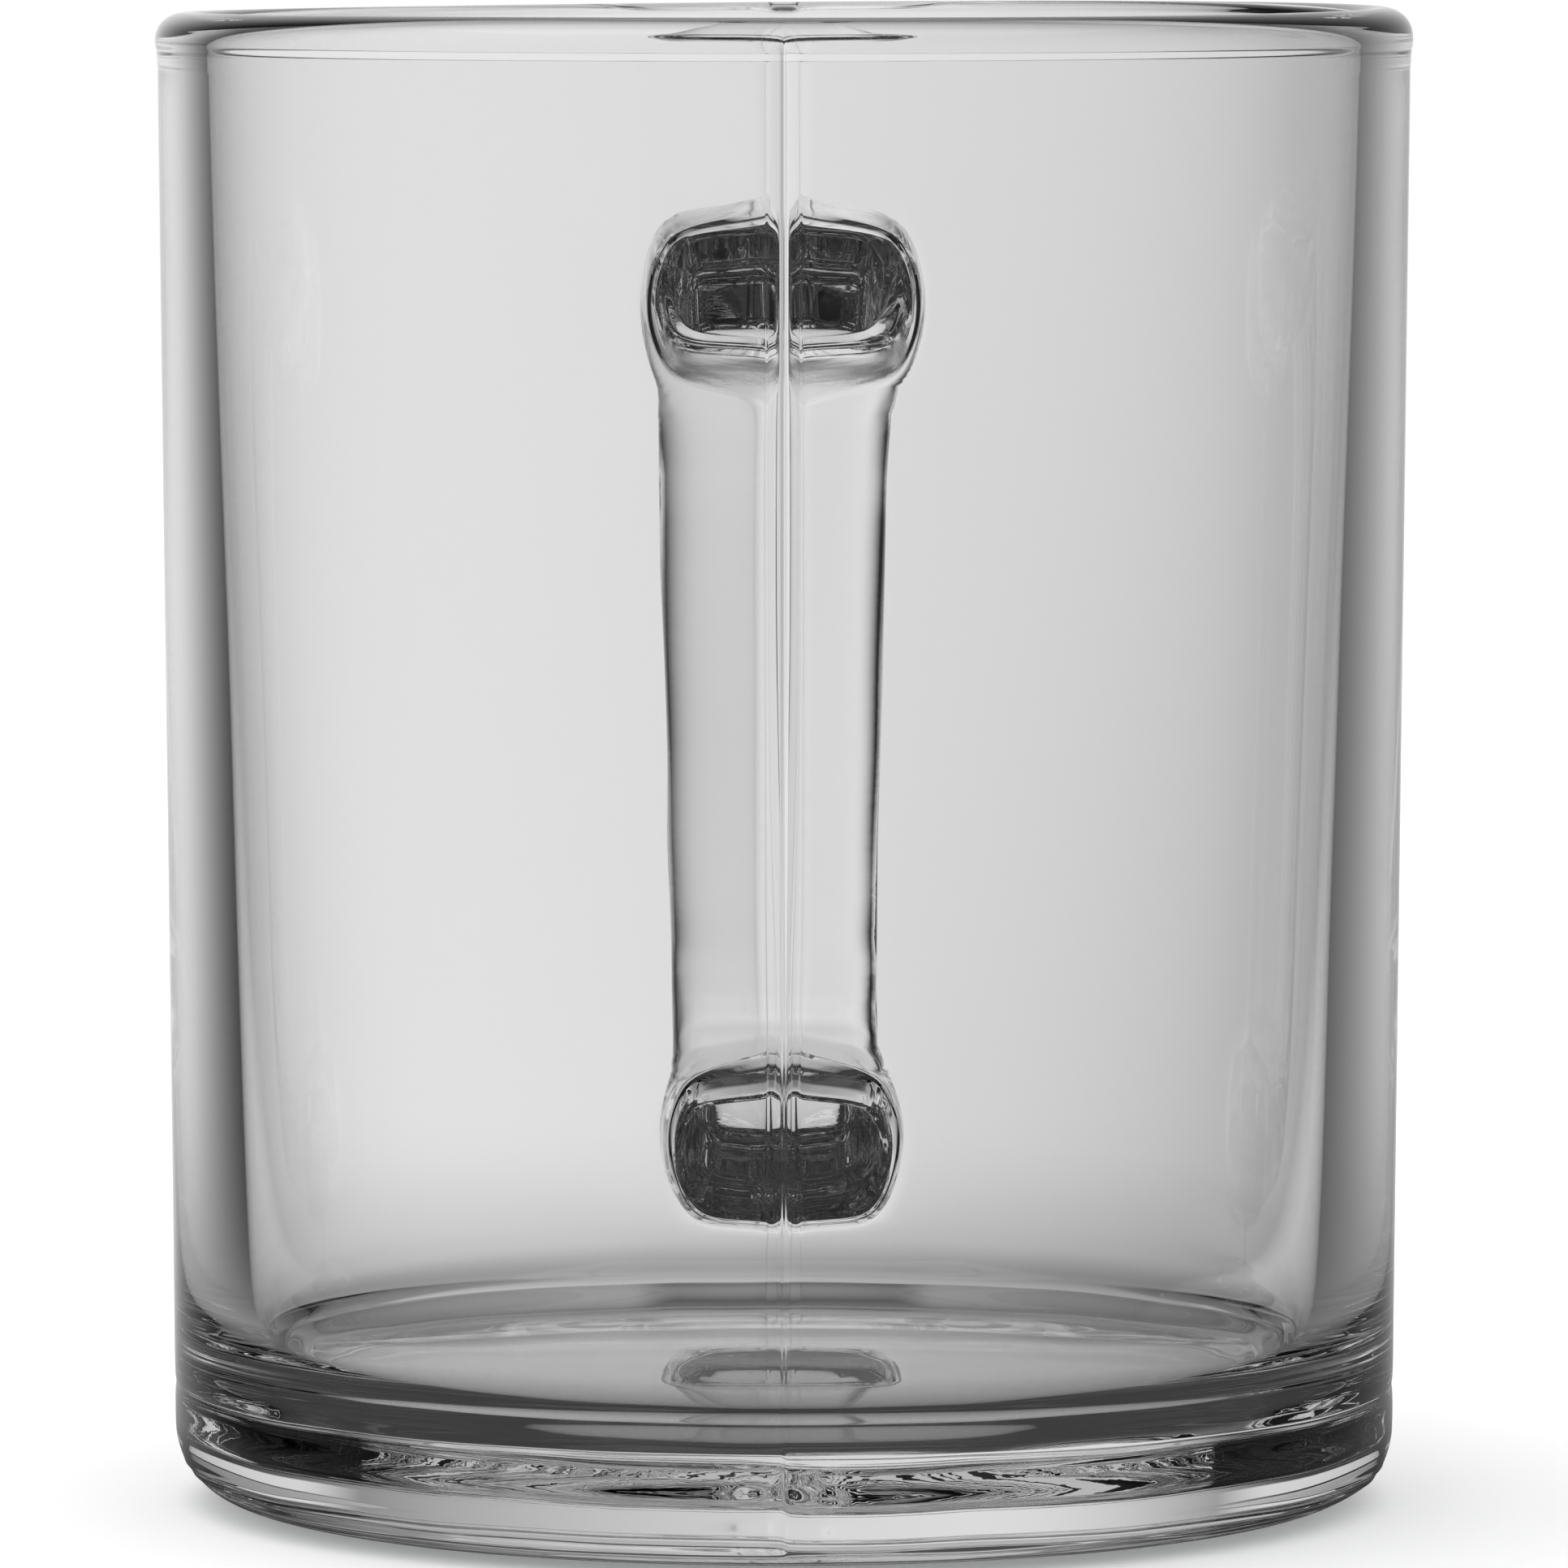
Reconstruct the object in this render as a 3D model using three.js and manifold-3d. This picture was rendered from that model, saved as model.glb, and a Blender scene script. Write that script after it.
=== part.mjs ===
// A pressed clear-glass mug: a thick-bottomed straight bowl with a rounded drinking edge and a
// D-shaped finger handle. Millimetres, +Z up, +Y towards the handle. The origin is the point
// where the bowl's axis meets the table.
import * as THREE from "three";
import { mergeVertices } from "three/addons/utils/BufferGeometryUtils.js";
import Module from "manifold-3d";

// Bowl
const height = 95.4; // table to the top of the drinking edge
const rimDiameter = 80; // outside of the straight side, carried up to the top
const footDiameter = 78.2; // outside of the straight side, carried down to the table
const wallAtRim = 3.1; // the bore is wider at the top, so that the plunger draws out
const wallAtFloor = 4.9;
const rimBand = 3.7; // height of the band pressed by the mould's ring
const rimCrown = 2.2; // height of the rounded part of the drinking edge
const floorThickness = 7.2;
const floorFillet = 5.2; // round between the bore and the floor
const heelRadius = 4.6; // round between the side and the foot

// Handle
const handleBelowRim = 15.5; // top of the drinking edge down to the top of the upper arm
const handleBottom = 12.5; // table up to the underside of the lower arm
const handleReach = 32.8; // wall to the outside of the grip
const gripThickness = 6.8; // of the finger bar, front to back
const upperArmHeight = 8.5; // of the arm where it leaves its root
const lowerArmHeight = 8.1;
const upperBend = 21.2; // outside radius between the upper arm and the grip
const lowerBend = 17.6;
const upperFingerBend = 9.6; // inside radii, on the finger side
const lowerFingerBend = 7.3;
const widthAtTop = 18.8; // across the handle, at the top of the upper arm
const widthAtBottom = 15.9;
const edgeRound = 2.8; // round along the handle's four long edges

// Roots, the flared collars that carry the handle's arms on the wall
const rootLength = 5.6; // wall to the plane that the arms start from
const rootCorner = 3.8;
const sideFlare = { rise: 0.7, run: 1.2 }; // how far a root spreads past its arm, and over what length
const upperRootFlares = { above: { rise: 2.1, run: 1.7 }, below: { rise: 4.2, run: 5.6 } };
const lowerRootFlares = { above: { rise: 4.1, run: 5.6 }, below: { rise: 0.7, run: 0.7 } };
const rootGap = 0.3; // between a root and the wall that it is shaped to

// Facets
const turns = 64; // steps round the bowl
const arcSteps = 4; // each arc has twice as many
const edgeSteps = 3;
const rootSteps = 10;
const weld = 1e-4; // vertices closer than this are one

const rimRadius = rimDiameter / 2;
const footRadius = footDiameter / 2;
const outerRadius = (z) => footRadius + ((rimRadius - footRadius) * z) / height;
const boreAtRim = outerRadius(height) - wallAtRim;
const boreAtFloor = outerRadius(floorThickness) - wallAtFloor;
const boreRadius = (z) => {
  const share = (z - floorThickness) / (height - floorThickness);
  return boreAtFloor + (boreAtRim - boreAtFloor) * share;
};

const rimBase = height - rimBand;
const handleTop = height - handleBelowRim;
const wallBesideHandle = Math.max(outerRadius(handleTop), outerRadius(handleBottom));
const mountingPlane = wallBesideHandle + rootLength;
const gripOutside = wallBesideHandle + handleReach;
const gripInside = gripOutside - gripThickness;
const upperArmUnderside = handleTop - upperArmHeight;
const lowerArmTopside = handleBottom + lowerArmHeight;
const gripTop = handleTop - upperBend;
const gripBottom = handleBottom + lowerBend;
const handleWidth = (z) => {
  const share = (z - handleBottom) / (handleTop - handleBottom);
  return widthAtBottom + (widthAtTop - widthAtBottom) * share;
};

const quarter = Math.PI / 2;
const wasm = await Module();
wasm.setup();

function solidOf(geometry) {
  const bare = geometry.clone();
  bare.deleteAttribute("normal");
  bare.deleteAttribute("uv");
  const merged = mergeVertices(bare, weld);
  const mesh = new wasm.Mesh({
    numProp: 3,
    vertProperties: merged.getAttribute("position").array,
    triVerts: new Uint32Array(merged.index.array),
  });
  return new wasm.Manifold(mesh);
}

function geometryOf(solid) {
  const mesh = solid.getMesh();
  const geometry = new THREE.BufferGeometry();
  geometry.setAttribute("position", new THREE.BufferAttribute(mesh.vertProperties, 3));
  geometry.setIndex(new THREE.BufferAttribute(mesh.triVerts, 1));
  geometry.computeVertexNormals();
  return geometry;
}

// A profile of radius against height, turned about the bowl's axis.
function turned(profile) {
  return new THREE.LatheGeometry(profile.getPoints(arcSteps), turns).rotateX(quarter);
}

function glassMesh(name, geometry) {
  const glass = new THREE.MeshStandardMaterial({
    color: 0xe2e5e5,
    roughness: 0.04,
    metalness: 0,
    transparent: true,
    opacity: 0.35,
  });
  const mesh = new THREE.Mesh(geometry, glass);
  mesh.name = name;
  return mesh;
}

// The drinking edge: a short band with a half-oval top.
function rimGeometry() {
  const crownBase = height - rimCrown;
  const outside = outerRadius(crownBase);
  const inside = boreRadius(crownBase);
  const middle = (outside + inside) / 2;
  const profile = new THREE.Path();
  profile.moveTo(boreRadius(rimBase), rimBase);
  profile.lineTo(outerRadius(rimBase), rimBase);
  profile.absellipse(middle, crownBase, outside - middle, rimCrown, 0, Math.PI);
  profile.lineTo(boreRadius(rimBase), rimBase);
  return turned(profile);
}

// The straight side, with the fillet that runs into the floor.
function wallGeometry() {
  const filletTop = floorThickness + floorFillet;
  const filletCentre = boreRadius(filletTop) - floorFillet;
  const profile = new THREE.Path();
  profile.moveTo(filletCentre, floorThickness);
  profile.lineTo(outerRadius(floorThickness), floorThickness);
  profile.lineTo(outerRadius(rimBase), rimBase);
  profile.lineTo(boreRadius(rimBase), rimBase);
  profile.absarc(filletCentre, filletTop, floorFillet, 0, -quarter, true);
  return turned(profile);
}

// The solid bottom: a disc with a rounded heel, flat underneath.
function baseGeometry() {
  const heelCentre = outerRadius(heelRadius) - heelRadius;
  const profile = new THREE.Path();
  profile.moveTo(0, 0);
  profile.lineTo(heelCentre, 0);
  profile.absarc(heelCentre, heelRadius, heelRadius, -quarter, 0);
  profile.lineTo(outerRadius(floorThickness), floorThickness);
  profile.lineTo(0, floorThickness);
  return turned(profile);
}

// The bowl's outside with a gap around it, which shapes the back of each root.
function wallCutter() {
  const profile = new THREE.Path();
  profile.moveTo(0, 0);
  profile.lineTo(outerRadius(0) + rootGap, 0);
  profile.lineTo(outerRadius(height) + rootGap, height);
  profile.lineTo(0, height);
  return solidOf(turned(profile));
}

// How far a flare has spread at a distance from the wall: a quarter of an ellipse.
function spreadAt(flare, fromWall) {
  const left = 1 - THREE.MathUtils.clamp(fromWall / flare.run, 0, 1);
  return flare.rise * (1 - Math.sqrt(1 - left ** 2));
}

// A rounded rectangle run from the wall out to the mounting plane, spreading towards the wall.
function rootGeometry(armBottom, armTop, flares) {
  const low = armBottom - flares.below.rise;
  const high = armTop + flares.above.rise;
  const middle = (low + high) / 2;
  const half = (high - low) / 2;
  const armSide = handleWidth((armBottom + armTop) / 2) / 2;
  const side = armSide + sideFlare.rise;
  const outline = new THREE.Shape();
  outline.absarc(side - rootCorner, rootCorner - half, rootCorner, -quarter, 0);
  outline.absarc(side - rootCorner, half - rootCorner, rootCorner, 0, quarter);
  outline.absarc(rootCorner - side, half - rootCorner, rootCorner, quarter, Math.PI);
  outline.absarc(rootCorner - side, rootCorner - half, rootCorner, Math.PI, 3 * quarter);
  const back = Math.sqrt(outerRadius(low) ** 2 - side ** 2) - rootGap;
  const root = new THREE.ExtrudeGeometry(outline, {
    depth: mountingPlane - back,
    steps: rootSteps,
    bevelEnabled: false,
    curveSegments: arcSteps,
  });
  root.rotateX(quarter);
  root.translate(0, mountingPlane, 0);
  const place = root.getAttribute("position");
  for (let i = 0; i < place.count; i += 1) {
    const x = place.getX(i);
    const share = place.getZ(i) / half;
    const fromWall = Math.hypot(x, place.getY(i)) - outerRadius(middle + share * half);
    const bottom = armBottom - spreadAt(flares.below, fromWall);
    const top = armTop + spreadAt(flares.above, fromWall);
    place.setX(i, (x * (armSide + spreadAt(sideFlare, fromWall))) / side);
    place.setZ(i, (bottom + top) / 2 + (share * (top - bottom)) / 2);
  }
  return geometryOf(solidOf(root).subtract(wallCutter()));
}

// The whole handle: its side view run across the mug with rounded edges, narrowing downwards.
// Its ends start inside the roots, and are cut off square at the mounting plane.
function handleSolid() {
  const start = mountingPlane - 2 * edgeRound;
  const outline = new THREE.Shape();
  outline.moveTo(start, handleBottom);
  outline.absarc(gripOutside - lowerBend, gripBottom, lowerBend, -quarter, 0);
  outline.absarc(gripOutside - upperBend, gripTop, upperBend, 0, quarter);
  outline.lineTo(start, handleTop);
  outline.lineTo(start, upperArmUnderside);
  const upperFinger = [gripInside - upperFingerBend, upperArmUnderside - upperFingerBend];
  const lowerFinger = [gripInside - lowerFingerBend, lowerArmTopside + lowerFingerBend];
  outline.absarc(...upperFinger, upperFingerBend, quarter, 0, true);
  outline.absarc(...lowerFinger, lowerFingerBend, 0, -quarter, true);
  outline.lineTo(start, lowerArmTopside);
  outline.lineTo(start, handleBottom);
  const straight = widthAtTop - 2 * edgeRound;
  const bar = new THREE.ExtrudeGeometry(outline, {
    depth: straight,
    steps: 1,
    curveSegments: arcSteps,
    bevelSize: edgeRound,
    bevelThickness: edgeRound,
    bevelOffset: -edgeRound,
    bevelSegments: edgeSteps,
  });
  const outwards = new THREE.Vector3(0, 1, 0);
  const up = new THREE.Vector3(0, 0, 1);
  const across = new THREE.Vector3(1, 0, 0);
  bar.translate(0, 0, -straight / 2);
  bar.applyMatrix4(new THREE.Matrix4().makeBasis(outwards, up, across));
  const place = bar.getAttribute("position");
  for (let i = 0; i < place.count; i += 1) {
    place.setX(i, (place.getX(i) * handleWidth(place.getZ(i))) / widthAtTop);
  }
  return solidOf(bar);
}

// The stretch of the handle between two heights, from the mounting plane outwards.
function handleStretch(handle, low, high) {
  const deep = gripOutside - mountingPlane + edgeRound;
  const slab = new THREE.BoxGeometry(2 * widthAtTop, deep, high - low);
  slab.translate(0, mountingPlane + deep / 2, (low + high) / 2);
  return geometryOf(handle.intersect(solidOf(slab)));
}

const handle = handleSolid();
const mug = new THREE.Group();
mug.name = "glass_mug";
mug.add(
  glassMesh("rim", rimGeometry()),
  glassMesh("side_wall", wallGeometry()),
  glassMesh("base", baseGeometry()),
  glassMesh("handle_upper_root", rootGeometry(upperArmUnderside, handleTop, upperRootFlares)),
  glassMesh("handle_lower_root", rootGeometry(handleBottom, lowerArmTopside, lowerRootFlares)),
  glassMesh("handle_upper_arm", handleStretch(handle, gripTop, height)),
  glassMesh("handle_grip", handleStretch(handle, gripBottom, gripTop)),
  glassMesh("handle_lower_arm", handleStretch(handle, 0, gripBottom)),
);

export default mug;
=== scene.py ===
import math

import bmesh
import bpy
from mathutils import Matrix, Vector, noise


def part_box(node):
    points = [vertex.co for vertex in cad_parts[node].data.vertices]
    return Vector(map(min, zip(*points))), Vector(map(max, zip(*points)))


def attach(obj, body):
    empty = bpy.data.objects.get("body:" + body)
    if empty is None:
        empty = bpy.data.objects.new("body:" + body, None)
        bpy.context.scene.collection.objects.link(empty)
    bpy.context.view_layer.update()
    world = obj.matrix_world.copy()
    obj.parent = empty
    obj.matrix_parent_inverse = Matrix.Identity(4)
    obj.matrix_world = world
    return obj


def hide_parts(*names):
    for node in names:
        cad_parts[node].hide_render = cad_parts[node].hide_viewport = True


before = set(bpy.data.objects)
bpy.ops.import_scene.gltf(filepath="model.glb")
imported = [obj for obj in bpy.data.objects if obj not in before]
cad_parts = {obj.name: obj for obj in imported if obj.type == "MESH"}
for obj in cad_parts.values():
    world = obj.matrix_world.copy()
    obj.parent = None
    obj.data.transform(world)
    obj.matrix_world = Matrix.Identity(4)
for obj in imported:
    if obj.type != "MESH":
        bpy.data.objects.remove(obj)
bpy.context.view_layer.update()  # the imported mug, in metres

print("frame:", ", ".join(sorted(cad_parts)))

mm = 0.001
weld = 0.01 * mm  # points nearer than this are one

bowl = {
    "height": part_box("rim")[1].z,
    "rimRadius": 40.0 * mm,  # outside of the straight side, carried up to the top
    "footRadius": 39.1 * mm,  # the same, carried down to the table
    "wallAtRim": 3.1 * mm,
    "wallAtFloor": 4.9 * mm,
    "floorHeight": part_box("base")[1].z,
    # the round from the side to the floor, millimetres in from the side and up from the floor:
    # a steep start, a slope, a fine step and a slope, rounded from the result of a search over curves
    "floorRound": ((0, 6.4), (0.25, 5), (0.35, 4), (0.85, 2.9), (1.55, 2.15), (1.6, 1.65), (1.75, 1.6),
                   (2.4, 0.45), (2.9, 0), (3.4, 0)),
    "stepWander": 0.12 * mm,
    "heelRound": 4.67 * mm,
    "heelTurns": ((-90, -72, -56, -47), (-20, -9, 0)),  # degrees, its rings below and above the lines
    "plateLines": (-30, -40.5),  # degrees down the heel, where the mould met its bottom plate
    "plateRidge": 0.08 * mm,
    "ridgeHalf": 2.5,  # degrees
    "grooveHeight": 7.35 * mm,  # the fine groove above them
    "grooveDepth": 0.14 * mm,
    "grooveHalf": 0.28 * mm,
    "plateSlip": 0.3 * mm,  # the right half of the mould sat this much lower on the plate
    "plateWander": 0.22 * mm,
    "ringLine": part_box("rim")[0].z,  # where the mould's ring met the mould
    # rise from that line, and how far the side is pushed out there
    "ringStep": ((-0.5 * mm, 0), (-0.1 * mm, -0.02 * mm), (0.2 * mm, 0.03 * mm), (1.0 * mm, 0.05 * mm)),
    "beadHeight": 93.7 * mm,
    "beadFoot": 0.55 * mm,
    "beadProud": 0.16 * mm,
    "crownOutside": 2.1 * mm,  # heights of the round over the drinking edge
    "crownInside": 0.85 * mm,
    "innerRound": 1.25 * mm,
    "crownSteps": (4, 3),
    "undersideRings": (0, 0.2, 0.5, 0.8, 0.95),  # shares of the flat's radius
    "floorRings": (0.93, 0.75, 0.5, 0.25, 0),
    "rowSpacing": 5.2 * mm,
    "lowSpacing": 2.08 * mm,  # below the handle
    "boreSpacing": 13.0 * mm,
    "outerSkin": 0.5 * mm,  # what lies within this of the outside is on the outer face
    "sweepSteps": 32,  # columns on each half of the bowl
    "frontSeam": 0.2 * mm,  # half widths of the two mould seams
    "backSeam": 0.85 * mm,
    "backSeamEdge": 0.25 * mm,
    "frontProud": 0.2 * mm,
    "backProud": 0.16 * mm,
    "seamCrease": 0.9,  # both stand up sharply from the wall
    "frontFade": (34 * mm, 62 * mm),  # the front seam fades downwards, to a share
    "frontLeast": 0.2,
    "rimWave": 0.2 * mm,  # the drinking edge rises towards the right of the handle
}

skin = {
    "scale": (400, 1500, 1500),  # wrinkles per metre, longest across the handle
    "depth": 0.04 * mm,
    "roughness": (0, 0.3),  # polished walls, dull root
    "grip": 0.2,
    "gripSide": (0.8, 1),  # shares of half its width
    "gripFrom": (0.25, 0.35),  # shares of the way round the handle
    "gripTo": (0.75, 0.65),
    "rootUnder": (-0.3, -0.7),  # shares of half the upper root's height
    "rootOut": (3.5 * mm, 1.8 * mm),
    "heel": 0.015,
}

ripple = {
    "spacing": 14 * mm,
    "wall": 0.012 * mm,
    "floor": 0.05 * mm,
    "handle": 0.07 * mm,
    "handleFrom": (0, 0.07),  # shares of the way round it
    "handleTo": (1, 0.93),
    "edgeSpacing": 7 * mm,
    "edgeApart": 40,  # so that its two sides differ
    "edge": 0.3 * mm,  # along the two sides of the handle
}

handle = {
    "top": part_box("handle_upper_arm")[1].z - 0.3 * mm,  # the seen outline sits a little lower
    "bottom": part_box("handle_lower_arm")[0].z - 0.3 * mm,
    "outside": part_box("handle_grip")[1].y,
    "inside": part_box("handle_grip")[0].y,
    "armStart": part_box("handle_upper_arm")[0].y,
    "upperArm": 8.5 * mm,
    "lowerArm": 8.1 * mm,
    "upperBend": 21.2 * mm,
    "lowerBend": 17.6 * mm,
    "upperFingerBend": 9.6 * mm,
    "lowerFingerBend": 7.3 * mm,
    "widthAtTop": 18.8 * mm,
    "widthAtBottom": 15.9 * mm,
    "bow": -0.9 * mm,  # the grip leans a little to the left of the seam
    "rootRows": 6,
    "rootColumns": 2,  # full columns on each side of the seam's narrow ones
    "collar": (0.25 * mm, 0.7 * mm, 1.5 * mm, 2.8 * mm, 4.2 * mm),  # rings of each root, out from the wall
    "armSpacing": 3 * mm,
    # from the upper root round to the lower one: the round along the edges (1 is a half-round), and how far
    # the outer and the finger faces fall from the seam to the sides, as shares of half the thickness
    "edgeRound": (0.4, 0.45, 0.45, 0.85, 1, 0.85, 0.45, 0.45, 0.4),
    "outerFall": (0.24, 0.1, 0.1, 0.15, 0.2, 0.15, 0.1, 0.08, 0.08),
    "fingerFall": (0.24, 0.1, 0.1, 0.15, 0.2, 0.15, 0.1, 0.14, 0.3),
    "fallShape": 1.2,
    "rootCrease": 0.7,
    "flareStop": 0.93,  # the root's flares end a little before they would run along the wall
    "bendSteps": 5,
    "gripSteps": 5,
}

upperRoot = {
    "low": handle["top"] - handle["upperArm"],
    "high": handle["top"],
    "above": (2.1 * mm, 1.7 * mm),  # rise and run of the flares on the wall
    "below": (4.0 * mm, 5.6 * mm),
    "beside": (0.7 * mm, 1.2 * mm),
    "flip": 1,  # the outer face is on top
}
lowerRoot = {
    "low": handle["bottom"],
    "high": handle["bottom"] + handle["lowerArm"],
    "above": (4.1 * mm, 5.6 * mm),
    "below": (0.7 * mm, 0.7 * mm),
    "beside": (0.7 * mm, 1.2 * mm),
    "flip": -1,
}


def outerRadius(z):
    return bowl["footRadius"] + (bowl["rimRadius"] - bowl["footRadius"]) * z / bowl["height"]


def boreRadius(z):
    low = outerRadius(bowl["floorHeight"]) - bowl["wallAtFloor"]
    high = bowl["rimRadius"] - bowl["wallAtRim"]
    share = (z - bowl["floorHeight"]) / (bowl["height"] - bowl["floorHeight"])
    return low + (high - low) * share


def onOuterFace(spot):
    return math.hypot(spot.x, spot.y) > outerRadius(spot.z) - bowl["outerSkin"]


def onSide(spot):
    return onOuterFace(spot) and bowl["heelRound"] < spot.z < bowl["beadHeight"]


def seamTurns():
    return [math.asin(bowl[name] / bowl["rimRadius"]) for name in ("backSeam", "backSeamEdge", "frontSeam")]


def smooth(low, high, value):
    t = min(max((value - low) / (high - low), 0), 1)
    return t * t * (3 - 2 * t)


def arc(centre, radii, start, stop, steps):
    turned = [math.radians(start + (stop - start) * i / steps) for i in range(steps + 1)]
    return [(centre[0] + radii[0] * math.cos(a), centre[1] + radii[1] * math.sin(a)) for a in turned]


def spread(low, high, spacing):
    steps = max(1, round(abs(high - low) / spacing))
    return [low + (high - low) * i / steps for i in range(1, steps)]


def flareAt(flare, out):
    left = 1 - min(max(out / flare[1], 0), 1)
    stop = handle["flareStop"]
    return flare[0] * (1 - math.sqrt(1 - (stop * left) ** 2)) / (1 - math.sqrt(1 - stop * stop))


def rootRows(root):
    low, high = root["low"] - root["below"][0], root["high"] + root["above"][0]
    return [low + (high - low) * i / handle["rootRows"] for i in range(handle["rootRows"] + 1)]


def heelLine(heel, centre):
    below, above = bowl["heelTurns"]
    half = bowl["ridgeHalf"]
    line = [(heel, degrees) for degrees in below]
    for ridge in sorted(bowl["plateLines"]):
        line += [(heel, ridge - half), (heel + bowl["plateRidge"], ridge), (heel, ridge + half)]
    line += [(heel, degrees) for degrees in above]
    return [(centre + size * math.cos(math.radians(turn)), heel + size * math.sin(math.radians(turn)))
            for size, turn in line]


def floorLine(top):
    return [(boreRadius(top) - into * mm, bowl["floorHeight"] + up * mm) for into, up in bowl["floorRound"]]


def bowlProfile():
    heel = bowl["heelRound"]
    heelCentre = outerRadius(heel) - heel
    filletTop = bowl["floorHeight"] + bowl["floorRound"][0][1] * mm
    ring = bowl["ringLine"]
    line = [(share * heelCentre, 0) for share in bowl["undersideRings"]]
    line += heelLine(heel, heelCentre)
    rows = rootRows(lowerRoot)
    groove, half, deep = bowl["grooveHeight"], bowl["grooveHalf"], bowl["grooveDepth"]
    wall = outerRadius(groove)
    line += [(wall, groove - half), (wall - deep, groove), (wall, groove + half)]
    heights = spread(groove + half, rows[0], bowl["lowSpacing"]) + rows
    heights += spread(rows[-1], rootRows(upperRoot)[0], bowl["rowSpacing"])
    rows = rootRows(upperRoot)
    heights += rows + spread(rows[-1], ring + bowl["ringStep"][0][0], bowl["rowSpacing"])
    line += [(outerRadius(z), z) for z in heights]
    line += [(outerRadius(ring) + push, ring + rise) for rise, push in bowl["ringStep"]]
    bead = bowl["beadHeight"]
    edge = outerRadius(bowl["height"] - bowl["crownOutside"]) + bowl["beadProud"]
    line += [(edge, bead - bowl["beadFoot"])]
    crest = boreRadius(bowl["height"]) + bowl["innerRound"]
    outerSteps, innerSteps = bowl["crownSteps"]
    line += arc((crest, bead), (edge - crest, bowl["height"] - bead), 0, 90, outerSteps)
    innerBase = bowl["height"] - bowl["crownInside"]
    line += arc((crest, innerBase), (bowl["innerRound"], bowl["crownInside"]), 90, 180, innerSteps)[1:]
    line += [(boreRadius(z), z) for z in [ring] + spread(ring, filletTop, bowl["boreSpacing"])]
    line += floorLine(filletTop)
    line += [(share * line[-1][0], bowl["floorHeight"]) for share in bowl["floorRings"]]
    return line


def spinBowl(bm):
    full = 3 / (2 + math.cos(math.pi / bowl["sweepSteps"]))  # the subdivision draws the round in
    verts = [bm.verts.new((0, r * full, z)) for r, z in bowlProfile()]
    edges = [bm.edges.new(pair) for pair in zip(verts, verts[1:])]
    inner, edge, front = seamTurns()
    half = [(inner, 1), (edge, 1), (math.pi - inner - edge - front, bowl["sweepSteps"]), (front, 1)]
    last = verts + edges
    for angle, steps in half + half[::-1]:
        turned = bmesh.ops.spin(bm, geom=last, cent=(0, 0, 0), axis=(0, 0, 1), angle=-angle, steps=steps)
        last = turned["geom_last"]
    bmesh.ops.remove_doubles(bm, verts=bm.verts, dist=weld)
    bmesh.ops.recalc_face_normals(bm, faces=bm.faces)


def along(values, share):
    place = share * (len(values) - 1)
    i = min(int(place), len(values) - 2)
    return values[i] + (values[i + 1] - values[i]) * (place - i)


def armSection(u, v, halfWidth, halfHeight, share):
    fall = along(handle["outerFall"] if v > 0 else handle["fingerFall"], share)
    curve = along(handle["edgeRound"], share)
    turn = v * math.pi / 2
    x = u * (halfWidth - curve * halfHeight * (1 - fall) * (1 - math.cos(turn)))
    rise = halfHeight * (v + (math.sin(turn) - v) * curve) * (1 - fall * abs(u) ** handle["fallShape"])
    return x, rise


def handleWidth(z):
    share = (z - handle["bottom"]) / (handle["top"] - handle["bottom"])
    return handle["widthAtBottom"] + (handle["widthAtTop"] - handle["widthAtBottom"]) * share


def bend(outerCentre, outerSize, innerCentre, innerSize, start, stop):
    steps = handle["bendSteps"]
    grown = 3 / (2 + math.cos(math.radians(abs(stop - start) / steps)))  # the subdivision draws the bend in
    outline = arc(outerCentre, [outerSize * grown] * 2, start, stop, steps)
    finger = arc(innerCentre, [innerSize * grown] * 2, start, stop, steps)
    return list(zip(outline, finger))


def handleStations():
    h = handle
    underside = h["top"] - h["upperArm"]
    topside = h["bottom"] + h["lowerArm"]
    upper = bend((h["outside"] - h["upperBend"], h["top"] - h["upperBend"]), h["upperBend"],
                 (h["inside"] - h["upperFingerBend"], underside - h["upperFingerBend"]),
                 h["upperFingerBend"], 90, 0)
    lower = bend((h["outside"] - h["lowerBend"], h["bottom"] + h["lowerBend"]), h["lowerBend"],
                 (h["inside"] - h["lowerFingerBend"], topside + h["lowerFingerBend"]),
                 h["lowerFingerBend"], 0, -90)
    upperStart = spread(h["armStart"], upper[0][0][0], h["armSpacing"])
    arm = [((y, h["top"]), (y, underside)) for y in upperStart]
    grip = []
    for i in range(1, h["gripSteps"]):
        t = i / h["gripSteps"]
        outer, inner = [(a[0], a[1] + (b[1] - a[1]) * t) for a, b in zip(upper[-1], lower[0])]
        grip.append((outer, inner))
    lowerEnd = spread(lower[-1][0][0], h["armStart"], h["armSpacing"])
    back = [((y, h["bottom"]), (y, topside)) for y in lowerEnd]
    return arm + upper + grip + lower + back


def rootSpot(u, v, root, out, share):
    low = root["low"] - flareAt(root["below"], out)
    high = root["high"] + flareAt(root["above"], out)
    middle = (root["low"] + root["high"]) / 2
    halfWidth = handleWidth(middle) / 2 + flareAt(root["beside"], out)
    x, rise = armSection(u, v, halfWidth, (high - low) / 2, share)
    z = (low + high) / 2 + rise * root["flip"]
    wall = outerRadius(z)
    hollow = wall - math.sqrt(wall * wall - x * x)
    left = 1 - out / (handle["armStart"] - wall)  # the wall's curve dies out towards the arm
    return Vector((x, wall + out - hollow * max(left, 0), z))


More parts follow.
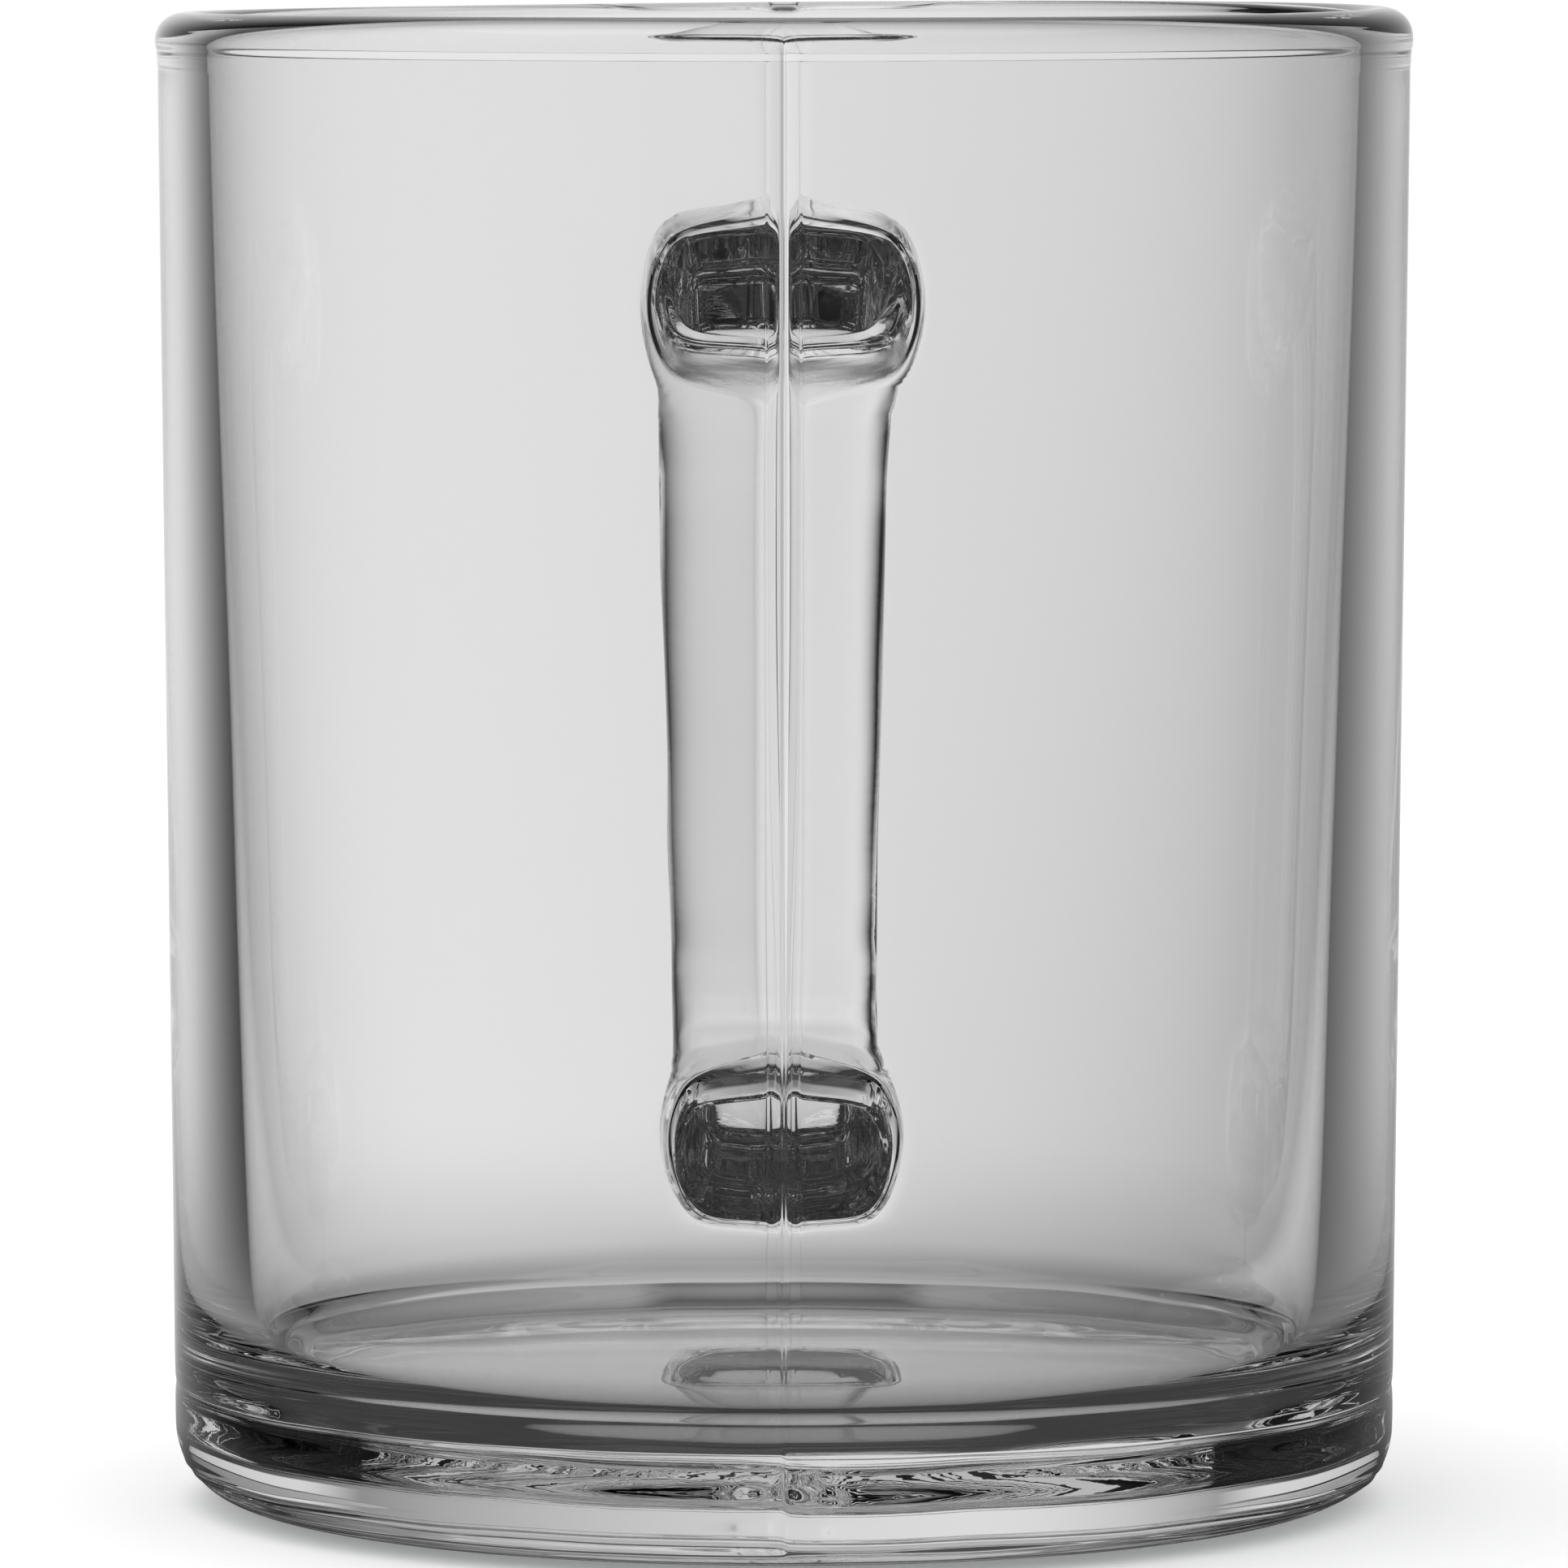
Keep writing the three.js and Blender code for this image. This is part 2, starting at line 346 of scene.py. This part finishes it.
def openRoot(bm, root, across, upwards, crease):
    inner, edge, front = seamTurns()
    step = (math.pi - inner - edge - front) / bowl["sweepSteps"]
    reach = inner + edge + handle["rootColumns"] * step
    rows = rootRows(root)
    patch = []
    for face in bm.faces:
        spot = face.calc_center_median()
        aside = abs(math.atan2(spot.x, spot.y))
        if onOuterFace(spot) and aside < reach and rows[0] < spot.z < rows[-1]:
            patch.append(face)
    bmesh.ops.delete(bm, geom=patch, context="FACES")
    low, high = rows[0] - mm, rows[-1] + mm
    ring = [edge for edge in bm.edges if edge.is_boundary and low < edge.verts[0].co.z < high]
    for vert in {vert for edge in ring for vert in edge.verts}:
        vert[across] = math.atan2(vert.co.x, vert.co.y) / reach
        vert[upwards] = (2 * (vert.co.z - rows[0]) / (rows[-1] - rows[0]) - 1) * root["flip"]
        vert.co = rootSpot(vert[across], vert[upwards], root, 0, 0 if root is upperRoot else 1)
    for edge in ring:
        edge[crease] = handle["rootCrease"]
    return ring


def growHandle(bm, ring, across, upwards, made, grown):
    collar = [*handle["collar"], handle["armStart"] - outerRadius(handle["top"])]
    stations = [(upperRoot, out) for out in collar] + handleStations()
    stations += [(lowerRoot, out) for out in collar[::-1] + [0]]
    for i, station in enumerate(stations):
        share = i / (len(stations) - 1)
        added = bmesh.ops.extrude_edge_only(bm, edges=ring)["geom"]
        verts = [v for v in added if isinstance(v, bmesh.types.BMVert)]
        ring = [e for e in added if isinstance(e, bmesh.types.BMEdge)]
        for vert in verts:
            u, v = vert[across], vert[upwards]
            if station[0] in (upperRoot, lowerRoot):
                vert.co = rootSpot(u, v, station[0], station[1], share)
            else:
                outer, inner = Vector((0, *station[0])), Vector((0, *station[1]))
                middle = (outer + inner) / 2
                x, rise = armSection(u, v, handleWidth(middle.z) / 2, (outer - inner).length / 2, share)
                vert.co = middle + (outer - inner).normalized() * rise + Vector((x, 0, 0))
            vert.co.x += handle["bow"] * math.sin(math.pi * share) ** 2
            onGrip = smooth(*skin["gripFrom"], share) * smooth(*skin["gripTo"], share)
            vert[made] = skin["grip"] * smooth(*skin["gripSide"], abs(u)) * onGrip
            if station[0] is upperRoot:
                vert[made] = smooth(*skin["rootUnder"], v) * smooth(*skin["rootOut"], station[1])
            vert[grown] = smooth(*ripple["handleFrom"], share) * smooth(*ripple["handleTo"], share)
    return verts


def creaseSeams(bm, crease):
    inner, edge, front = seamTurns()
    for line in bm.edges:
        spots = [vert.co for vert in line.verts]
        around = [abs(math.atan2(spot.x, spot.y)) for spot in spots]
        for turn in (inner, inner + edge, math.pi - front):
            if all(onSide(spot) for spot in spots) and all(abs(a - turn) < 0.1 * front for a in around):
                line[crease] = bowl["seamCrease"]


def markSeams(bm, seam):
    inner, edge, _ = seamTurns()
    least = bowl["frontLeast"]
    for vert in bm.verts:
        x, y, z = vert.co
        if onSide(vert.co) and abs(math.atan2(x, y)) < inner + 0.1 * edge:
            vert[seam] = bowl["backProud"]
        elif onSide(vert.co) and y < 0 and abs(x) < weld:
            vert[seam] = bowl["frontProud"] * (least + (1 - least) * smooth(*bowl["frontFade"], z))


# heights and radii between which each unevenness fades in
settle = {
    "foot": (0, 2 * mm),  # the foot stays flat
    "floorBelow": (14 * mm, 9 * mm),
    "floorAbove": (2 * mm, 5 * mm),
    "floorWithin": (33.5 * mm, 31 * mm),
    "plateBelow": (9 * mm, 6.6 * mm),
    "plateAbove": (0.6 * mm, 1.6 * mm),
    "plateBeyond": (34.5 * mm, 37 * mm),
    "plateWaves": 5,
    "slip": (-0.3 * mm, 0.3 * mm),  # from the left half of the mould to the right one
    "stepBelow": (14 * mm, 11 * mm),
    "stepAbove": (5 * mm, 6.5 * mm),
    "stepWithin": (34.5 * mm, 33 * mm),
    "stepBeyond": (28.5 * mm, 30 * mm),
    "stepWaves": 6,
}


def zone(name, radius, z):
    share = smooth(*settle[name + "Below"], z) * smooth(*settle[name + "Above"], z)
    if name + "Within" in settle:
        share *= smooth(*settle[name + "Within"], radius)
    if name + "Beyond" in settle:
        share *= smooth(*settle[name + "Beyond"], radius)
    return share


def roundNoise(angle, waves, start):
    return noise.noise(Vector((math.cos(angle), math.sin(angle), start)) * waves)


def settleGlass(bm, seam, made, grown, across):
    bm.normal_update()
    for vert in bm.verts:
        x, y, z = vert.co
        radius, angle = math.hypot(x, y), math.atan2(x, y)
        onHandle = vert[grown]
        size = ripple["wall"] + (ripple["floor"] - ripple["wall"]) * zone("floor", radius, z)
        size += (ripple["handle"] - size) * onHandle
        push = vert[seam] + size * noise.noise(vert.co / ripple["spacing"]) * smooth(*settle["foot"], z)
        vert.co += vert.normal * push
        side = abs(vert[across]) ** 3 * onHandle
        apart = Vector((x * ripple["edgeApart"], y, z)) / ripple["edgeSpacing"]
        vert.co.x += ripple["edge"] * side * noise.noise(apart)
        wave = math.sin(angle) * (0.8 + 0.8 * math.cos(angle)) - 0.3  # highest to the right of the handle
        vert.co.z += bowl["rimWave"] * wave * smooth(bowl["ringLine"], bowl["height"], z)
        plate = zone("plate", radius, z)
        wander = roundNoise(angle, settle["plateWaves"], 0) * bowl["plateWander"]
        vert.co.z += plate * (wander - bowl["plateSlip"] * (smooth(*settle["slip"], x) - 0.5))
        wander = roundNoise(angle, settle["stepWaves"], 3) * bowl["stepWander"]
        vert.co.z += zone("step", radius, z) * wander
        vert[made] = max(vert[made], skin["heel"] * plate)


def pressMug():
    bm = bmesh.new()
    across = bm.verts.layers.float.new("across")
    upwards = bm.verts.layers.float.new("upwards")
    seam = bm.verts.layers.float.new("seam")
    made = bm.verts.layers.float.new("mouldSkin")
    grown = bm.verts.layers.float.new("handle")
    crease = bm.edges.layers.float.new("crease_edge")
    spinBowl(bm)
    markSeams(bm, seam)
    creaseSeams(bm, crease)
    print("bowl spun:", len(bm.faces), "faces")
    lowerRing = openRoot(bm, lowerRoot, across, upwards, crease)
    upperRing = openRoot(bm, upperRoot, across, upwards, crease)
    lowerVerts = list({vert for edge in lowerRing for vert in edge.verts})
    end = growHandle(bm, upperRing, across, upwards, made, grown)
    bmesh.ops.remove_doubles(bm, verts=end + lowerVerts, dist=weld)
    bmesh.ops.recalc_face_normals(bm, faces=bm.faces)
    settleGlass(bm, seam, made, grown, across)
    print("handle grown:", len(bm.faces), "faces,", sum(not e.is_manifold for e in bm.edges), "open edges")
    mesh = bpy.data.meshes.new("pressed_glass_mug")
    bm.to_mesh(mesh)
    bm.free()
    mesh.shade_smooth()
    mug = bpy.data.objects.new("pressed_glass_mug", mesh)
    bpy.context.scene.collection.objects.link(mug)
    rounding = mug.modifiers.new("rounding", "SUBSURF")
    rounding.levels = rounding.render_levels = 2
    return mug


def mathNode(nodes, links, operation, *values):
    node = nodes.new("ShaderNodeMath")
    node.operation = operation
    for socket, value in zip(node.inputs, values):
        if isinstance(value, (int, float)):
            socket.default_value = value
        else:
            links.new(value, socket)
    return node.outputs["Value"]


def rangeNode(nodes, links, value, fromLow, fromHigh, toLow, toHigh, kind="SMOOTHSTEP"):
    node = nodes.new("ShaderNodeMapRange")
    node.interpolation_type = kind
    links.new(value, node.inputs["Value"])
    names = ("From Min", "From Max", "To Min", "To Max")
    for name, amount in zip(names, (fromLow, fromHigh, toLow, toHigh)):
        node.inputs[name].default_value = amount
    return node.outputs["Result"]


def mouldSkinGroup():
    group = bpy.data.node_groups.new("mould_skin", "ShaderNodeTree")
    group.interface.new_socket("Normal", in_out="OUTPUT", socket_type="NodeSocketVector")
    group.interface.new_socket("Roughness", in_out="OUTPUT", socket_type="NodeSocketFloat")
    nodes, links = group.nodes, group.links
    where = nodes.new("ShaderNodeAttribute")
    where.attribute_name = "mouldSkin"
    stretch = nodes.new("ShaderNodeMapping")
    stretch.inputs["Scale"].default_value = skin["scale"]
    links.new(nodes.new("ShaderNodeTexCoord").outputs["Object"], stretch.inputs["Vector"])
    wrinkles = nodes.new("ShaderNodeTexNoise")
    wrinkles.inputs["Scale"].default_value = 1
    wrinkles.inputs["Detail"].default_value = 2
    links.new(stretch.outputs["Vector"], wrinkles.inputs["Vector"])
    bump = nodes.new("ShaderNodeBump")
    bump.inputs["Distance"].default_value = skin["depth"]
    links.new(wrinkles.outputs["Fac"], bump.inputs["Height"])
    links.new(where.outputs["Fac"], bump.inputs["Strength"])
    result = nodes.new("NodeGroupOutput")
    links.new(bump.outputs["Normal"], result.inputs["Normal"])
    dull = rangeNode(nodes, links, where.outputs["Fac"], 0, 1, *skin["roughness"])
    links.new(dull, result.inputs["Roughness"])
    return group


glass = {
    "index": 1.52,
    "shadowTint": (0.86, 0.87, 0.87, 1),
    "darkening": 2.5,  # per metre, so that long ways through the glass come out darker
}


def clearGlass():
    material = bpy.data.materials.new("clear_glass")
    material.use_nodes = True
    nodes, links = material.node_tree.nodes, material.node_tree.links
    shader = nodes["Principled BSDF"]
    shader.inputs["Base Color"].default_value = (1, 1, 1, 1)
    shader.inputs["IOR"].default_value = glass["index"]
    shader.inputs["Transmission Weight"].default_value = 1
    surface = nodes.new("ShaderNodeGroup")
    surface.node_tree = mouldSkinGroup()
    links.new(surface.outputs["Normal"], shader.inputs["Normal"])
    links.new(surface.outputs["Roughness"], shader.inputs["Roughness"])
    lightPath = nodes.new("ShaderNodeLightPath")
    clear = nodes.new("ShaderNodeBsdfTransparent")
    clear.inputs["Color"].default_value = glass["shadowTint"]
    mix = nodes.new("ShaderNodeMixShader")
    links.new(lightPath.outputs["Is Shadow Ray"], mix.inputs["Fac"])
    links.new(shader.outputs["BSDF"], mix.inputs[1])
    links.new(clear.outputs["BSDF"], mix.inputs[2])
    links.new(mix.outputs["Shader"], nodes["Material Output"].inputs["Surface"])
    depth = nodes.new("ShaderNodeVolumeAbsorption")
    depth.inputs["Color"].default_value = (0, 0, 0, 1)
    depth.inputs["Density"].default_value = glass["darkening"]
    links.new(depth.outputs["Volume"], nodes["Material Output"].inputs["Volume"])
    return material


mug = pressMug()
mug.data.materials.append(clearGlass())
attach(mug, "root")
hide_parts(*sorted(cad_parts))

tent = {
    "radius": 1500 * mm,
    "height": 2600 * mm,
    "sides": 96,
    "drop": 0.2 * mm,  # its floor lies just above the table top
    "levels": (0.015, 0.945),  # of the dark front and the bright back wall
    "leftFade": (-50, -10),  # degrees from the middle of the back wall, towards the right
    "rightFade": (-16, 62),
    # the shade of the mug on the table, by distance from its middle
    "footShade": 38 * mm,
    "footFall": 1.5,  # the power by which it thins out
    "footEnd": (120 * mm, 200 * mm),
    "nearTable": 60 * mm,  # nearer than this, the light stops reaching further round
    "underMug": 0.05,
    "underReach": (36 * mm, 60 * mm),
    "underHandle": 0.2,  # the shade below its lower arm
    "shadeWidth": (8 * mm, 12 * mm),
    "shadeReach": (47 * mm, 57 * mm),
    "upperEdge": (1050 * mm, 2500 * mm),  # where the walls fade towards the top
    "upperLevel": 0.25,
    # light that is seen straight through the glass, without a reflection, so that it looks clear all round
    "whiteFrom": (24, 40),  # degrees from the middle of the back wall
    "whiteLevel": 0.88,
    "whiteTop": (150 * mm, 300 * mm),
    "whiteFaces": 4.5,  # the two walls have four faces, and the handle behind them has more
    "whiteUnder": 0.18,
}

panel = {
    "size": (1300 * mm, 790 * mm),
    "centre": (0, -165 * mm, 800 * mm),
    "level": 0.78,
}


def tableLight(nodes, links, reach):
    outside = mathNode(nodes, links, "MAXIMUM", reach, tent["footShade"])
    foot = mathNode(nodes, links, "DIVIDE", tent["footShade"], outside)
    shade = mathNode(nodes, links, "POWER", foot, tent["footFall"])
    near = rangeNode(nodes, links, reach, *tent["footEnd"], 1, 0)
    return mathNode(nodes, links, "SUBTRACT", 1, mathNode(nodes, links, "MULTIPLY", shade, near))


def straightLight(nodes, links, aside, reach, onTable, height):
    lightPath = nodes.new("ShaderNodeLightPath")
    straight = mathNode(nodes, links, "LESS_THAN", lightPath.outputs["Glossy Depth"], 0.5)
    bare = mathNode(nodes, links, "LESS_THAN", lightPath.outputs["Transmission Depth"], tent["whiteFaces"])
    white = rangeNode(nodes, links, aside, *map(math.radians, tent["whiteFrom"]), 0, tent["whiteLevel"])
    low = rangeNode(nodes, links, height, *tent["whiteTop"], 1, 0)
    white = mathNode(nodes, links, "MULTIPLY", white, mathNode(nodes, links, "MULTIPLY", onTable, low))
    lit = rangeNode(nodes, links, reach, *tent["underReach"], tent["whiteUnder"], 0)
    white = mathNode(nodes, links, "MAXIMUM", white, lit)
    return mathNode(nodes, links, "MULTIPLY", white, mathNode(nodes, links, "MULTIPLY", straight, bare))


def tentLight():
    material = bpy.data.materials.new("tent_light")
    material.use_nodes = True
    nodes, links = material.node_tree.nodes, material.node_tree.links
    nodes.remove(nodes["Principled BSDF"])
    place = nodes.new("ShaderNodeSeparateXYZ")
    links.new(nodes.new("ShaderNodeTexCoord").outputs["Object"], place.inputs["Vector"])
    x, y, z = [place.outputs[axis] for axis in "XYZ"]
    squares = [mathNode(nodes, links, "MULTIPLY", axis, axis) for axis in (x, y)]
    reach = mathNode(nodes, links, "SQRT", mathNode(nodes, links, "ADD", *squares))
    angle = mathNode(nodes, links, "ARCTAN2", x, y)
    aside = mathNode(nodes, links, "ABSOLUTE", angle)
    near = mathNode(nodes, links, "MAXIMUM", reach, tent["nearTable"])
    seen = mathNode(nodes, links, "DIVIDE", bowl["rimRadius"], near)
    angle = mathNode(nodes, links, "MULTIPLY", angle, mathNode(nodes, links, "SUBTRACT", 1, seen))
    left = rangeNode(nodes, links, angle, *map(math.radians, tent["leftFade"]), 0, 1)
    right = rangeNode(nodes, links, angle, *map(math.radians, tent["rightFade"]), 1, 0)
    bright = mathNode(nodes, links, "MULTIPLY", left, right)
    around = rangeNode(nodes, links, bright, 0, 1, *tent["levels"], "LINEAR")
    onTable = tableLight(nodes, links, reach)
    level = mathNode(nodes, links, "MULTIPLY", around, onTable)
    beside = mathNode(nodes, links, "ABSOLUTE", x)
    shade = rangeNode(nodes, links, beside, *tent["shadeWidth"], 1 - tent["underHandle"], 0)
    below = rangeNode(nodes, links, y, *tent["shadeReach"], 1, 0)
    shade = mathNode(nodes, links, "MULTIPLY", shade, below)
    level = mathNode(nodes, links, "MULTIPLY", level, mathNode(nodes, links, "SUBTRACT", 1, shade))
    under = rangeNode(nodes, links, reach, *tent["underReach"], tent["underMug"], 0)
    level = mathNode(nodes, links, "ADD", level, under)
    white = straightLight(nodes, links, aside, reach, onTable, z)
    level = mathNode(nodes, links, "MAXIMUM", level, white)
    fade = rangeNode(nodes, links, z, *tent["upperEdge"], 1, tent["upperLevel"])
    glow = nodes.new("ShaderNodeEmission")
    links.new(mathNode(nodes, links, "MULTIPLY", level, fade), glow.inputs["Strength"])
    links.new(glow.outputs["Emission"], nodes["Material Output"].inputs["Surface"])
    return material


def panelLight():
    material = bpy.data.materials.new("panel_light")
    material.use_nodes = True
    nodes, links = material.node_tree.nodes, material.node_tree.links
    nodes.remove(nodes["Principled BSDF"])
    glow = nodes.new("ShaderNodeEmission")
    glow.inputs["Strength"].default_value = panel["level"]
    links.new(glow.outputs["Emission"], nodes["Material Output"].inputs["Surface"])
    return material


def hangInStudio(name, bm, material):
    mesh = bpy.data.meshes.new(name)
    bm.to_mesh(mesh)
    bm.free()
    mesh.materials.append(material)
    piece = bpy.data.objects.new(name, mesh)
    bpy.context.scene.collection.objects.link(piece)
    piece.visible_camera = False
    piece.visible_diffuse = False
    piece.visible_shadow = False
    return piece


def buildTent():
    bm = bmesh.new()
    bmesh.ops.create_circle(bm, cap_ends=True, segments=tent["sides"], radius=tent["radius"])
    bmesh.ops.translate(bm, verts=bm.verts, vec=(0, 0, -tent["drop"]))
    walls = bmesh.ops.extrude_edge_only(bm, edges=bm.edges)["geom"]
    raised = [vert for vert in walls if isinstance(vert, bmesh.types.BMVert)]
    bmesh.ops.translate(bm, verts=raised, vec=(0, 0, tent["height"]))
    bmesh.ops.contextual_create(bm, geom=raised)  # the lid
    return hangInStudio("light_tent", bm, tentLight())


def buildPanel():
    bm = bmesh.new()
    bmesh.ops.create_grid(bm, x_segments=1, y_segments=1, size=0.5)
    bmesh.ops.scale(bm, verts=bm.verts, vec=(*panel["size"], 1))
    bmesh.ops.translate(bm, verts=bm.verts, vec=panel["centre"])
    return hangInStudio("top_panel", bm, panelLight())


tableTop = {
    "radius": 12,
    "sides": 64,
    "drop": 0.3 * mm,
    "roughness": 0.8,
    "paper": (0.8, 1),  # as it lights the studio, and as the camera sees it
}


def buildTable():
    bm = bmesh.new()
    bmesh.ops.create_circle(bm, cap_ends=True, segments=tableTop["sides"], radius=tableTop["radius"])
    bmesh.ops.translate(bm, verts=bm.verts, vec=(0, 0, -tableTop["drop"]))
    mesh = bpy.data.meshes.new("table")
    bm.to_mesh(mesh)
    bm.free()
    material = bpy.data.materials.new("white_table")
    material.use_nodes = True
    nodes, links = material.node_tree.nodes, material.node_tree.links
    shader = nodes["Principled BSDF"]
    shader.inputs["Roughness"].default_value = tableTop["roughness"]
    shader.inputs["Specular IOR Level"].default_value = 0
    lightPath = nodes.new("ShaderNodeLightPath")
    paper = rangeNode(nodes, links, lightPath.outputs["Is Camera Ray"], 0, 1, *tableTop["paper"], "LINEAR")
    links.new(paper, shader.inputs["Base Color"])
    mesh.materials.append(material)
    table = bpy.data.objects.new("table", mesh)
    bpy.context.scene.collection.objects.link(table)
    return table


buildTent()
buildPanel()
buildTable()
print("studio: light tent, top panel and table")

scene = bpy.context.scene
world = bpy.data.worlds.new("studio")
scene.world = world
world.use_nodes = True
world.node_tree.nodes["Background"].inputs["Color"].default_value = (1, 1, 1, 1)
world.node_tree.nodes["Background"].inputs["Strength"].default_value = 1

lamp = {
    "size": 0.7,
    "power": 3,
    "place": (-0.25, 0.1, 0.95),
    "aim": (0, 0, 0.05),
}
softbox = bpy.data.lights.new("softbox", "AREA")
softbox.size = lamp["size"]
softbox.energy = lamp["power"]
softboxObject = bpy.data.objects.new("softbox", softbox)
softboxObject.location = lamp["place"]
towards = Vector(lamp["aim"]) - softboxObject.location
softboxObject.rotation_euler = towards.to_track_quat("-Z", "Y").to_euler()
softboxObject.visible_glossy = False
softboxObject.visible_transmission = False
scene.collection.objects.link(softboxObject)

cameraView = {
    "place": (0, -774.7 * mm, 105.4 * mm),
    "tiltDown": 0.07693,  # radians
    "lens": 278.0,
    "sensor": 36,
}
camera = bpy.data.cameras.new("camera")
camera.lens = cameraView["lens"]
camera.sensor_width = cameraView["sensor"]
cameraObject = bpy.data.objects.new("camera", camera)
cameraObject.location = cameraView["place"]
cameraObject.rotation_euler = (math.pi / 2 - cameraView["tiltDown"], 0, 0)
scene.collection.objects.link(cameraObject)
scene.camera = cameraObject

scene.view_settings.view_transform = "Standard"
scene.cycles.max_bounces = 32
scene.cycles.transmission_bounces = 32
scene.cycles.glossy_bounces = 16
scene.cycles.transparent_max_bounces = 16
